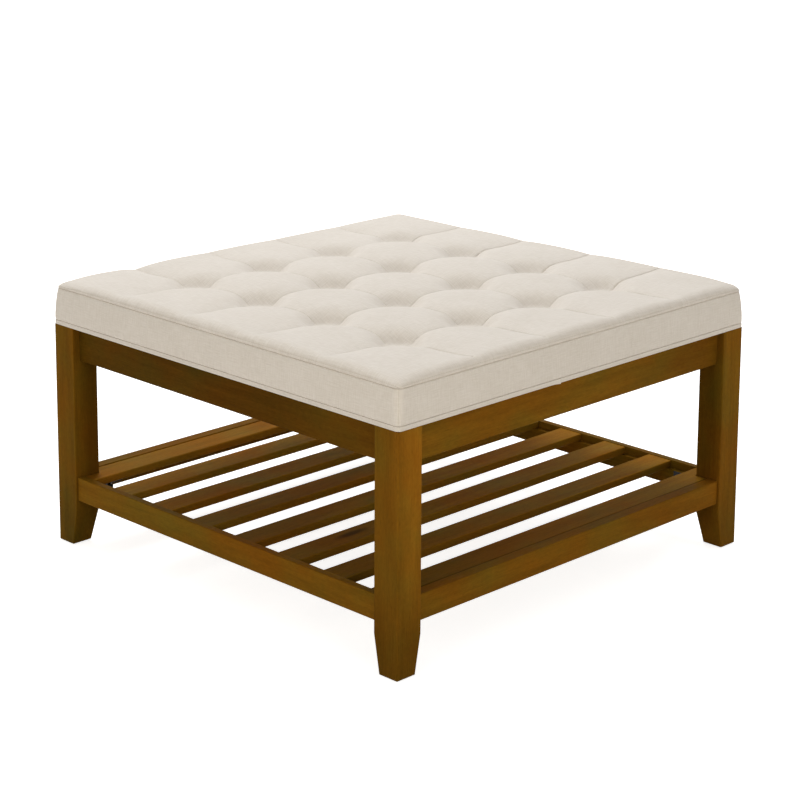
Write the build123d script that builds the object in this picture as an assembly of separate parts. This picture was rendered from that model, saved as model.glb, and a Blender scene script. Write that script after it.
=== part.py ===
from build123d import *
from math import sqrt
import os

os.makedirs("parts", exist_ok=True)

# Square tufted ottoman table on four legs, with a slatted shelf near the floor.
# The origin is on the floor under the middle, +Z is up, and the front faces -Y.

# Overall frame
overall_side = 762.0
frame_top = 357.0
wood_round = 1.5
hole_clearance = 0.1
soft_gap = 0.3
overrun = 5.0

# Legs and feet
leg_side = 46.0
foot_side = 35.5
taper_top = 59.0
glide_thick = 2.0
glide_side = 24.0

# Aprons under the cushion
apron_thick = 20.0
apron_height = 54.0
apron_inset = 13.0

# Stretchers round the shelf
stretcher_thick = 20.0
stretcher_height = 38.0
stretcher_bottom = 75.5
stretcher_inset = 4.0

# Shelf slats
slat_count = 8
slat_width = 46.0
slat_thick = 12.0
slat_drop = 0.8
slat_gap = 0.5
slat_round = 2.0
ledge_width = 8.0
notch_gap = 1.0

# Stub tenons at the rail ends
tenon_length = 12.0
tenon_thick = 10.0
tenon_shoulder = 7.0

# Corner brackets with their hanger bolts
plate_thick = 2.0
plate_reach = 38.0
flange_length = 22.0
apron_plate_height = 38.0
shelf_plate_height = 20.0
plate_top_gap = 0.8
bolt_radius = 3.0
bolt_depth = 24.0
bolt_overhang = 3.0
nut_flats = 10.0
nut_thick = 5.0

# Cleats that carry the seat board
cleat_side = 18.0
cleat_clearance = 25.0

# Seat board and foam
board_inset = 4.0
board_thick = 12.0
foam_thick = 38.7
dust_cover_thick = 0.6
dust_cover_margin = 1.0
tie_width = 6.0
tie_thick = 1.0
slit_gap = 1.0

# Hem band and side panels, by how far they stand out from the board
hem_stand = 6.0
hem_height = 8.4
hem_corner = 7.0
panel_foot_stand = 5.4
panel_bulge_stand = 7.2
panel_head_stand = 4.0
panel_corner = 9.0

# Tufted top, by how far it stands out from the board and how high each line rises over its foot
tuft_bays = 5
top_stand = 3.5
top_corner = 8.0
rim_height = 5.0
seam_rise = 8.0
tuft_rise = 3.0
pleat_rise = 13.0
valley_rise = 14.0
crown_rise = 15.0
shoulder_run = 28.5
shoulder_fall = 6.5
shoulder_dip = 0.5

# Places that follow from the sizes above
half = overall_side / 2
inner = half - leg_side
rail_length = 2 * inner
apron_out = half - apron_inset
apron_in = apron_out - apron_thick
stretcher_out = half - stretcher_inset
stretcher_in = stretcher_out - stretcher_thick
stretcher_top = stretcher_bottom + stretcher_height
slat_top = stretcher_top - slat_drop
ledge_top = slat_top - slat_thick
ledge_out = stretcher_in + ledge_width
slat_reach = ledge_out - slat_gap
slat_first = stretcher_in - slat_gap - slat_width / 2
slat_pitch = 2 * slat_first / (slat_count - 1)
apron_bottom = frame_top - apron_height
cleat_length = rail_length - 2 * (plate_reach + flange_length + cleat_clearance)
apron_plate_middle = frame_top - cleat_side / 2 - apron_plate_height / 2
shelf_plate_middle = ledge_top - plate_top_gap - shelf_plate_height / 2
pad_half = half - board_inset
board_top = frame_top + board_thick
foam_top = board_top + foam_thick
top_bottom = foam_top + soft_gap
hem_bottom = frame_top + soft_gap
hem_top = hem_bottom + hem_height
panel_bottom = hem_top + soft_gap
skin_half = pad_half + soft_gap
hem_half = pad_half + hem_stand
panel_top = top_bottom + rim_height
seam_half = pad_half + top_stand
seam_height = panel_top + seam_rise
tuft_height = panel_top + tuft_rise
pleat_height = tuft_height + pleat_rise
valley_height = tuft_height + valley_rise
crown_height = valley_height + crown_rise
shoulder_half = seam_half - shoulder_run
shoulder_height = crown_height - shoulder_fall
shoulder_valley_height = valley_height - shoulder_dip
bay = overall_side / tuft_bays
tuft_lines = [bay * (k - (tuft_bays - 2) / 2) for k in range(tuft_bays - 1)]
tuft_edge = tuft_lines[-1]
crown_place = (tuft_edge + half) / 2

# The four corners, as turns about Z from the back right one
corner_names = {"back_right": 0, "back_left": 90, "front_left": 180, "front_right": 270}
side_names = {"back": 0, "left": 90, "front": 180, "right": 270}


def turned(shape, angle):
    """A shape of the back or the back right corner, turned to another side."""
    return Rot(0, 0, angle) * shape


def all_turns(shapes):
    """Separate copies of the shapes at all four corners."""
    return Compound(children=[turned(s, a) for s in shapes for a in corner_names.values()])


def block(low, high):
    """A box between two corners."""
    size = [b - a for a, b in zip(low, high)]
    middle = [(a + b) / 2 for a, b in zip(low, high)]
    return Pos(*middle) * Box(*size)


def both_ends(shape):
    """A shape at the right end of a back rail, and its mirror at the left end."""
    return [shape, shape.mirror(Plane.YZ)]


def swapped(shape):
    """The same shape on the other rail of the back right corner."""
    return shape.mirror(Plane(origin=(0, 0, 0), z_dir=(1, -1, 0)))


def diagonal_rod(start, end, height, radius):
    """A rod on the back right corner's diagonal, measured inward from the leg's inner corner."""
    at = inner - start / sqrt(2)
    return extrude(Plane(origin=(at, at, height), z_dir=(-1, -1, 0)) * Circle(radius), amount=end - start)


# Tenons and mortises
def tenon(low_y, high_y, bottom, top, gap=0.0):
    """The stub tenon at a back rail's right end; with a gap it is the mortise that takes it."""
    middle = (low_y + high_y) / 2
    side = tenon_thick / 2 + gap
    shoulder = tenon_shoulder - gap
    end = inner + tenon_length + gap
    return block((inner, middle - side, bottom + shoulder), (end, middle + side, top - shoulder))


# Legs
def leg():
    """The back right leg: its outer faces stay upright and its inner faces taper at the foot."""
    centre = half - leg_side / 2
    foot_centre = half - foot_side / 2
    shaft = Pos(centre, centre, taper_top) * RectangleRounded(leg_side, leg_side, wood_round)
    foot = Pos(foot_centre, foot_centre, glide_thick) * RectangleRounded(foot_side, foot_side, wood_round)
    body = loft([foot, shaft], ruled=True) + extrude(shaft, amount=frame_top - taper_top)
    holes = [tenon(apron_in, apron_out, apron_bottom, frame_top, hole_clearance),
             tenon(stretcher_in, stretcher_out, stretcher_bottom, stretcher_top, hole_clearance)]
    holes += [swapped(h) for h in holes]
    for height in (apron_plate_middle, shelf_plate_middle):
        holes.append(diagonal_rod(-bolt_depth, overrun, height, bolt_radius + hole_clearance))
    return body - holes


def glide():
    """A flat square glide under the back right foot."""
    foot_centre = half - foot_side / 2
    low, high = foot_centre - glide_side / 2, foot_centre + glide_side / 2
    return block((low, low, 0), (high, high, glide_thick))


# Aprons and stretchers
def rail(low_y, high_y, bottom, top):
    """A rail between the back legs, with its long edges eased and a stub tenon at each end."""
    section = RectangleRounded(high_y - low_y, top - bottom, wood_round)
    start = (-inner, (low_y + high_y) / 2, (bottom + top) / 2)
    place = Plane(origin=start, x_dir=(0, 1, 0), z_dir=(1, 0, 0))
    return extrude(place * section, amount=rail_length) + both_ends(tenon(low_y, high_y, bottom, top))


def apron():
    """The back apron."""
    return rail(apron_in, apron_out, apron_bottom, frame_top)


def stretcher():
    """The back stretcher, plain all along."""
    return rail(stretcher_in, stretcher_out, stretcher_bottom, stretcher_top)


def ledged_stretcher():
    """A side stretcher, drawn on the back: its inner top edge is cut away to a ledge for the slats."""
    cut = block((-inner, stretcher_in - overrun, ledge_top), (inner, ledge_out, stretcher_top + overrun))
    return stretcher() - cut


# Shelf slats
def slat_places():
    """The middles of the slats, from front to back."""
    return [slat_pitch * k - slat_first for k in range(slat_count)]


def slat(place):
    """One slat from side to side, with eased edges; an end one is notched round the legs."""
    section = RectangleRounded(slat_width, slat_thick, slat_round)
    start = Plane(origin=(-slat_reach, place, slat_top - slat_thick / 2), x_dir=(0, 1, 0), z_dir=(1, 0, 0))
    body = extrude(start * section, amount=2 * slat_reach)
    notch_edge = inner - notch_gap
    if abs(place) + slat_width / 2 > notch_edge:
        notch = block((notch_edge, notch_edge, ledge_top - overrun), (half, half, stretcher_top + overrun))
        body = body - [turned(notch, angle) for angle in corner_names.values()]
    return body


# Corner brackets
def bracket(face, height, middle_height):
    """A bent steel plate across the corner, with a flange along each rail's inner face."""
    wood = inner - face
    rise = plate_reach + wood
    inside = wood + plate_thick
    slant = rise + sqrt(2) * plate_thick
    end = plate_reach + flange_length
    path = [(wood, end), (wood, plate_reach), (plate_reach, wood), (end, wood),
            (end, inside), (slant - inside, inside), (inside, slant - inside), (inside, end)]
    outline = make_face(Polyline([(inner - u, inner - v) for u, v in path], close=True))
    body = extrude(Pos(0, 0, middle_height - height / 2) * outline, amount=height)
    return body - diagonal_rod(0, inner, middle_height, bolt_radius + hole_clearance)


def plate_distance(face):
    """How far the bracket's slanted plate stands from the leg's inner corner."""
    return (plate_reach + inner - face) / sqrt(2)


def hanger_bolt(face, middle_height):
    """A headless bolt from inside the leg, through the bracket and the nut."""
    end = plate_distance(face) + plate_thick + nut_thick + bolt_overhang
    return diagonal_rod(-bolt_depth, end, middle_height, bolt_radius)


def nut(face, middle_height):
    """A hexagon nut on the bracket."""
    start = plate_distance(face) + plate_thick
    at = inner - start / sqrt(2)
    plane = Plane(origin=(at, at, middle_height), x_dir=(0, 0, 1), z_dir=(-1, -1, 0))
    body = extrude(plane * RegularPolygon(nut_flats / 2, 6, major_radius=False), amount=nut_thick)
    return body - diagonal_rod(0, inner, middle_height, bolt_radius + hole_clearance)


# Cleats and seat
def cleat():
    """The back cleat, glued to the apron and level with its top."""
    return block((-cleat_length / 2, apron_in - cleat_side, frame_top - cleat_side),
                 (cleat_length / 2, apron_in, frame_top))


def tuft_tapes(bottom, top, gap=0.0):
    """The tapes that pull the sixteen tufts down; with a gap they are the slits that they pass through."""
    wide, deep = tie_width / 2 + gap, tie_thick / 2 + gap
    return [block((x - wide, y - deep, bottom - gap), (x + wide, y + deep, top + gap))
            for x in tuft_lines for y in tuft_lines]


def seat_board():
    """The plywood board, with a slit under each tuft."""
    body = block((-pad_half, -pad_half, frame_top), (pad_half, pad_half, board_top))
    return body - tuft_tapes(frame_top, board_top, slit_gap)


def foam_block():
    """The foam between the board and the tufted top."""
    body = block((-pad_half, -pad_half, board_top), (pad_half, pad_half, foam_top))
    return body - tuft_tapes(board_top, foam_top, slit_gap)


def dust_cover():
    """A thin sheet stapled under the board, inside the cleats."""
    reach = apron_in - cleat_side - dust_cover_margin
    return block((-reach, -reach, frame_top - dust_cover_thick), (reach, reach, frame_top))


# Hem band and side panels
def rounded_square(reach, corner, height):
    """A square with round corners, lying at a height."""
    return Pos(0, 0, height) * RectangleRounded(2 * reach, 2 * reach, corner)


def hem_band():
    """The band of folded cloth round the foot of the cushion."""
    body = extrude(rounded_square(hem_half, hem_corner, hem_bottom), amount=hem_height)
    return body - block((-skin_half, -skin_half, 0), (skin_half, skin_half, crown_height))


def quarter(angle):
    """The quarter of the plan that belongs to one side, cut at the corner seams."""
    far = 2 * half
    outline = make_face(Polyline([(0, 0), (far, far), (-far, far)], close=True))
    return turned(extrude(outline, amount=crown_height), angle)


def side_panel(angle):
    """One boxed side: drawn in at its seams and bulging between them, mitred at the corners."""
    head = panel_top - soft_gap
    middle = (panel_bottom + head) / 2
    levels = [(panel_foot_stand, panel_bottom), (panel_bulge_stand, middle), (panel_head_stand, head)]
    rings = [rounded_square(pad_half + stand, panel_corner, height) for stand, height in levels]
    body = loft(rings, ruled=True)
    body = body - block((-skin_half, -skin_half, 0), (skin_half, skin_half, crown_height))
    return body & quarter(angle)


# Tufted top
def top_section(place, valley, crown, edge, bottom):
    """Across the cushion at one place: an arch over each bay, down to the tuft or crease between bays."""
    corners = [-seam_half] + tuft_lines + [seam_half]
    heights = [edge] + [valley] * len(tuft_lines) + [edge]
    lines = [Line((-seam_half, edge), (-seam_half, bottom)), Line((-seam_half, bottom), (seam_half, bottom)),
             Line((seam_half, bottom), (seam_half, edge))]
    for k in range(tuft_bays):
        start, end = (corners[k], heights[k]), (corners[k + 1], heights[k + 1])
        middle = (start[0] + end[0]) / 2
        lines.append(ThreePointArc(start, (middle, crown), end))
    plane = Plane(origin=(place, 0, 0), x_dir=(0, 1, 0), z_dir=(1, 0, 0))
    return plane * make_face(Curve() + lines)


def puff_row(k):
    """One row of puffs, from one line of tufts to the next."""
    low, high = tuft_lines[k], tuft_lines[k + 1]
    return loft([
        top_section(low, tuft_height, valley_height, seam_height, panel_top),
        top_section((low + high) / 2, valley_height, crown_height, seam_height, panel_top),
        top_section(high, tuft_height, valley_height, seam_height, panel_top),
    ], ruled=True)


def edge_row():
    """The last row on the right, which comes down to the seam."""
    return loft([
        top_section(tuft_edge, tuft_height, pleat_height, seam_height, panel_top),
        top_section(crown_place, valley_height, crown_height, seam_height, panel_top),
        top_section(shoulder_half, shoulder_valley_height, shoulder_height, seam_height, panel_top),
        top_section(seam_half, seam_height, seam_height + soft_gap, seam_height, panel_top),
    ], ruled=True)


def corner_cut():
    """The wedge that takes the point off the back right corner of the top."""
    near, far = seam_half - top_corner, seam_half + overrun
    points = [(near, seam_half), (near, far), (far, far), (far, near), (seam_half, near)]
    outline = make_face(Polyline(points, close=True))
    return extrude(Pos(0, 0, top_bottom) * outline, amount=crown_height)


def tufted_top():
    """The top of the cushion: five rows of five puffs over a flat base."""
    edge = edge_row()
    rows = [puff_row(k) for k in range(tuft_bays - 2)] + [edge, edge.mirror(Plane.YZ)]
    base = block((-pad_half, -pad_half, top_bottom), (pad_half, pad_half, panel_top))
    return rows[0].fuse(*rows[1:], base) - [turned(corner_cut(), angle) for angle in corner_names.values()]


# Nodes
nodes = {
    "seat_board": seat_board(),
    "foam_block": foam_block(),
    "tufted_top": tufted_top(),
    "hem_band": hem_band(),
    "dust_cover": dust_cover(),
    "tuft_ties": Compound(children=tuft_tapes(frame_top, top_bottom)),
}

for name, angle in corner_names.items():
    nodes["leg_" + name] = turned(leg(), angle)
    nodes["glide_" + name] = turned(glide(), angle)

for name, angle in side_names.items():
    rail_maker = ledged_stretcher if name in ("left", "right") else stretcher
    nodes["apron_" + name] = turned(apron(), angle)
    nodes["stretcher_" + name] = turned(rail_maker(), angle)
    nodes["cleat_" + name] = turned(cleat(), angle)
    nodes["side_panel_" + name] = side_panel(angle)

for number, place in enumerate(slat_places(), start=1):
    nodes["slat_" + str(number)] = slat(place)

levels = {"apron": (apron_in, apron_plate_height, apron_plate_middle),
          "shelf": (stretcher_in, shelf_plate_height, shelf_plate_middle)}
bolts, nuts = [], []
for name, (face, height, middle_height) in levels.items():
    nodes[name + "_brackets"] = all_turns([bracket(face, height, middle_height)])
    bolts.append(hanger_bolt(face, middle_height))
    nuts.append(nut(face, middle_height))
nodes["hanger_bolts"] = all_turns(bolts)
nodes["bolt_nuts"] = all_turns(nuts)

for name, shape in nodes.items():
    export_step(shape, "parts/" + name + ".step")
print(len(nodes), "nodes")
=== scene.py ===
# %% [markdown]
# # A tufted ottoman table
# A square upholstered top on four wooden legs, with a slatted shelf near the floor. The joinery comes from
# the CAD frame and keeps its shape here. The soft top, its seams and stitches, and the small fasteners are
# made in this file, and every surface gets its finish.

# %% Load the frame
import bpy
import numpy as np
from mathutils import Matrix, Vector


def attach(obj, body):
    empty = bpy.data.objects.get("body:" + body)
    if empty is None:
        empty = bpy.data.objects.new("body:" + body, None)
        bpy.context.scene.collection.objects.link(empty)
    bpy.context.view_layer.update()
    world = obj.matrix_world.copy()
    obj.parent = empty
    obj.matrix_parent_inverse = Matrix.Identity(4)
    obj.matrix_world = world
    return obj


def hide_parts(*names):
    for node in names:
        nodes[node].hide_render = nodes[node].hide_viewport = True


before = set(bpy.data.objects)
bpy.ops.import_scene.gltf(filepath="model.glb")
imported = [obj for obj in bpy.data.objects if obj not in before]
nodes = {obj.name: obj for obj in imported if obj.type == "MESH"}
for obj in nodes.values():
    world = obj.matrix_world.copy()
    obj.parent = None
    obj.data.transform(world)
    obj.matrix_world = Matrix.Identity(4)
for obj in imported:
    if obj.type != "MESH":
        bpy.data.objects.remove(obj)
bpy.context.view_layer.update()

print(len(nodes), "CAD nodes")

# %% [markdown]
# ## Units and colours
# Blender works in metres and a workshop in millimetres, so lengths are written as a number times MM.
# Colours are written as they look on a screen, and one function turns them to the linear light that
# Cycles adds up.

# %% Units and colours
MM = 0.001


def linear(code):
    """An sRGB hex colour as linear RGBA: c / 12.92 where c is dark, else ((c + 0.055) / 1.055) ^ 2.4."""
    c = np.array([int(code[k:k + 2], 16) for k in (1, 3, 5)]) / 255
    lit = np.where(c <= 0.04045, c / 12.92, ((c + 0.055) / 1.055) ** 2.4)
    return (*lit.tolist(), 1.0)


print("mid grey is", round(linear("#808080")[0], 3), "in linear light")

# %% [markdown]
# ## The camera
# The table is seen from in front of its left corner, a little above its top, through a long lens that is
# shifted down, which keeps the legs nearly upright in the picture. The camera's directions are worked out
# from its heading, its tilt down and a very small roll.

# %% Camera
camera_place = np.array([-2429.725, -2423.446, 1303.600]) * MM
camera_heading, camera_tilt, camera_roll = 0.7839, -0.1964, 0.0059
camera_lens, sensor_width, lens_shift = 101.946, 36.0, -0.29985


def camera_axes(heading, tilt, roll):
    """Right, up and forward as unit vectors: forward from heading and tilt, then a turn by roll about it."""
    forward = np.array([np.cos(heading) * np.cos(tilt), np.sin(heading) * np.cos(tilt), np.sin(tilt)])
    level = np.array([np.sin(heading), -np.cos(heading), 0.0])
    above = np.cross(level, forward)
    right = level * np.cos(roll) + above * np.sin(roll)
    return right, above * np.cos(roll) - level * np.sin(roll), forward


right, up, forward = camera_axes(camera_heading, camera_tilt, camera_roll)
camera = bpy.data.objects.new("camera", bpy.data.cameras.new("camera"))
camera.data.lens, camera.data.sensor_width = camera_lens, sensor_width
camera.data.shift_y = lens_shift
camera.data.clip_start = 0.1
turn = Matrix(np.column_stack([right, up, -forward]).tolist()).to_4x4()
turn.translation = camera_place.tolist()
camera.matrix_world = turn
bpy.context.scene.collection.objects.link(camera)
bpy.context.scene.camera = camera
bpy.context.scene.view_settings.view_transform = "Standard"
print("the camera stands", round(float(np.linalg.norm(camera_place)), 2), "m from the middle of the floor")

# %% [markdown]
# ## Nodes for materials
# A material is a small graph. One function adds a node, sets its sockets and properties, and joins it to
# what feeds it, so each recipe below reads from top to bottom.

# %% A node adder and a blank material
def add(tree, kind, sockets=None, **settings):
    """Adds a node. A socket given another node's output is linked to it, and any other value is set on it."""
    node = tree.nodes.new(kind)
    for key, value in settings.items():
        setattr(node, key, value)
    for key, value in (sockets or {}).items():
        if isinstance(value, bpy.types.NodeSocket):
            tree.links.new(value, node.inputs[key])
        else:
            node.inputs[key].default_value = value
    return node


def blank(name):
    """A material with an empty graph and its output node."""
    material = bpy.data.materials.new(name)
    material.use_nodes = True
    material.node_tree.nodes.clear()
    return material, material.node_tree, add(material.node_tree, "ShaderNodeOutputMaterial")


# %% [markdown]
# ## Room and light
# A furniture photograph of this kind is taken in a white sweep under large soft lamps, with most of the
# light from above. Here the world gives the light from all round, a little stronger near the horizon, as
# from a room's white walls. One large lamp hangs above and behind the table, and two weak, warm ones fill
# the front and the left. Seen by the camera or in a reflection, the world and the floor are white.

# %% World, floor and lamps
zenith_light, horizon_light, horizon_band = 0.42, 0.58, 0.5
floor_reach, floor_glow = 14.0, 0.8
table_middle = np.array([0, 0, 0.25])
view_kinds = ("Is Camera Ray", "Is Glossy Ray", "Is Transmission Ray")


def seen_directly(tree):
    """1 where the ray comes from the camera, a mirror or a clear surface, and 0 where it gathers light."""
    path = add(tree, "ShaderNodeLightPath")
    total = path.outputs[view_kinds[0]]
    for kind in view_kinds[1:]:
        total = add(tree, "ShaderNodeMath", {0: total, 1: path.outputs[kind]}, operation="MAXIMUM").outputs[0]
    return total


world = bpy.data.worlds.new("white_room")
bpy.context.scene.world = world
world.use_nodes = True
world.node_tree.nodes.clear()
seen = seen_directly(world.node_tree)
sky = add(world.node_tree, "ShaderNodeTexCoord").outputs["Generated"]
height = add(world.node_tree, "ShaderNodeSeparateXYZ", {0: sky}).outputs["Z"]
room = add(world.node_tree, "ShaderNodeMapRange", {"Value": height, "From Max": horizon_band,
                                                   "To Min": horizon_light, "To Max": zenith_light})
strength = add(world.node_tree, "ShaderNodeMix", {0: seen, 2: room.outputs[0], 3: 1.0})
glow = add(world.node_tree, "ShaderNodeBackground", {"Color": (1, 1, 1, 1), "Strength": strength.outputs[0]})
add(world.node_tree, "ShaderNodeOutputWorld", {"Surface": glow.outputs[0]})

sweep, tree, output = blank("painted_sweep")
paint = add(tree, "ShaderNodeBsdfDiffuse", {"Color": linear("#E6E4E1")})
lit = add(tree, "ShaderNodeEmission", {"Color": (1, 1, 1, 1), "Strength": floor_glow})
both = add(tree, "ShaderNodeAddShader", {0: paint.outputs[0], 1: lit.outputs[0]})
mixed = add(tree, "ShaderNodeMixShader", {0: seen_directly(tree), 1: paint.outputs[0], 2: both.outputs[0]})
tree.links.new(mixed.outputs[0], output.inputs["Surface"])

floor_corners = [(x * floor_reach, y * floor_reach, 0) for x, y in ((-1, -1), (1, -1), (1, 1), (-1, 1))]
floor_mesh = bpy.data.meshes.new("floor")
floor_mesh.from_pydata(floor_corners, [], [(0, 1, 2, 3)])
floor_mesh.materials.append(sweep)
floor = bpy.data.objects.new("floor", floor_mesh)
bpy.context.scene.collection.objects.link(floor)


def lamp(name, place, size, watts, colour="#FFFFFF"):
    """A square area lamp at a place, facing the middle of the table."""
    light = bpy.data.lights.new(name, "AREA")
    light.color = linear(colour)[:3]
    light.shape, light.size, light.energy = "SQUARE", size, watts
    made = bpy.data.objects.new(name, light)
    aim = Vector((table_middle - np.array(place)).tolist())
    made.matrix_world = Matrix.Translation(place) @ aim.to_track_quat("-Z", "Y").to_matrix().to_4x4()
    bpy.context.scene.collection.objects.link(made)
    return made


lamps = [lamp("overhead_lamp", (1.4, 2.75, 4.5), 2.5, 166),
         lamp("front_lamp", (-0.8, -2.8, 0.9), 1.4, 13, "#FFF3DC"),
         lamp("left_lamp", (-2.8, -0.5, 1.1), 1.4, 12, "#FFF3DC")]
print(len(lamps), "lamps")

# %% [markdown]
# ## Linen weave
# The cover is a plain-woven linen blend: undyed, matt, with slubs where a thread runs thick. The eye reads
# it as a warm off-white with a faint cross-hatch and longer streaks. Real threads are about 0.6 mm apart,
# which is too fine to show here, so the pattern is drawn at 1.7 mm, and the slubs at their real length.
# The pattern follows each panel's own UV map, which is laid out in metres of cloth.

# %% Linen material
thread_pitch = 1.7 * MM
thread_run = 9 * thread_pitch
slub_length, slub_width = 26 * MM, 1.4 * MM
uneven_size, weave_relief = 60 * MM, 0.5 * MM
hatch_noise, slub_noise, mottle_noise = (0.7, 1.3), (0.75, 1.25), (0.6, 2.4)


def linen(name, base, shade):
    """Plain-woven cloth: two crossed sets of thread streaks, a woven bump, slubs and slow unevenness."""
    material, tree, output = blank(name)
    cloth = add(tree, "ShaderNodeTexCoord").outputs["UV"]

    def streaks(along_u, length, width, detail):
        size = (1 / length, 1 / width, 1) if along_u else (1 / width, 1 / length, 1)
        place = add(tree, "ShaderNodeMapping", {"Vector": cloth, "Scale": size})
        return add(tree, "ShaderNodeTexNoise", {"Vector": place.outputs[0], "Scale": 1.0, "Detail": detail},
                   noise_dimensions="2D").outputs["Fac"]

    def plus(a, b):
        return add(tree, "ShaderNodeMath", {0: a, 1: b}, operation="ADD").outputs[0]

    def level(value, low, high):
        return add(tree, "ShaderNodeMapRange", {"Value": value, "From Min": low, "From Max": high}).outputs[0]

    warp = streaks(False, thread_run, thread_pitch, detail=1.0)
    weft = streaks(True, thread_run, thread_pitch, detail=1.0)
    slub = streaks(True, slub_length, slub_width, detail=2.0)
    slub_down = streaks(False, slub_length, slub_width, detail=2.0)
    slow = add(tree, "ShaderNodeTexNoise", {"Vector": cloth, "Scale": 1 / uneven_size, "Detail": 2.0},
               noise_dimensions="2D").outputs["Fac"]
    hatch, slubs = plus(warp, weft), plus(slub, slub_down)
    fine, coarse = level(hatch, *hatch_noise), level(slubs, *slub_noise)
    mottle = plus(plus(fine, coarse), slow)
    share = level(mottle, *mottle_noise)
    colour = add(tree, "ShaderNodeMix", {0: share, 6: linear(shade), 7: linear(base)}, data_type="RGBA")
    bump = add(tree, "ShaderNodeBump", {"Height": mottle, "Strength": 0.35, "Distance": weave_relief})
    shader = add(tree, "ShaderNodeBsdfPrincipled", {
        "Base Color": colour.outputs[2], "Roughness": 0.9, "Specular IOR Level": 0.25,
        "Sheen Weight": 0.05, "Sheen Roughness": 0.5, "Normal": bump.outputs[0]})
    tree.links.new(shader.outputs[0], output.inputs["Surface"])
    return material


linen_weave = linen("linen_weave", "#E9E2D9", "#DED6CB")
linen_thread = linen("linen_sewing_thread", "#D9D0C4", "#C6BCAD")
print("threads drawn", round(thread_pitch / MM, 1), "mm apart")

# %% [markdown]
# ## Stained wood
# The frame is a plain hardwood, such as beech or rubberwood, stained walnut and sprayed with satin lacquer.
# The stain takes unevenly, so the brown drifts between olive and orange over a hand's width. Fine fibres run
# along each part, with short dark pores. Each part gets its own recipe, because no two boards match: the
# grain's direction, where it is cut from the pattern, and its two tones. Not all of the colour is stain: the
# legs darken towards the floor in a painted shade, every rounded edge gets a painted highlight, and some
# parts' depths and patches and the slats' lighter tops are painted light and shade, for how the light falls
# on them.

# %% Stained wood material
fibre_width, fibre_length = 1.3 * MM, 40 * MM
figure_width, figure_length = 15 * MM, 180 * MM
fleck_width, fleck_length = 3.5 * MM, 7 * MM
pore_width, pore_length = 0.9 * MM, 11 * MM
blotch_width, blotch_length = 70 * MM, 112 * MM
fibre_tones, figure_tones, fleck_tones = (0.9, 1.08), (0.87, 1.09), (0.93, 1.06)
pore_tones, blotch_tones, lacquer_rough = (1.0, 0.8), (1.16, 0.82), (0.4, 0.6)
most_noise, wide_noise, pore_noise = (0.3, 0.7), (0.25, 0.75), (0.63, 0.72)
# Painted highlight: rounded edges are lightened where the bevel's normal turns from the flat one.
arris_radius, arris_painted_highlight, arris_highlight_turn = 1.2 * MM, 1.25, (0.8, 0.99)
# Painted shade: legs darken towards the floor, down to this share of their colour at the foot.
foot_painted_shade, foot_painted_shade_to, foot_painted_shade_from = 0.78, 45 * MM, 130 * MM
# Beside the patches' core: how far the painted light on upward faces runs, and which faces count as upward.
patch_core, painted_top_light_reach, painted_top_light_slope = 0.35, 300 * MM, (0.4, 0.9)
grain_relief = 0.15 * MM
cut_steps = (3.1, 5.7, 7.3)
axes = {"x": 0, "y": 1, "z": 2}


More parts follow.
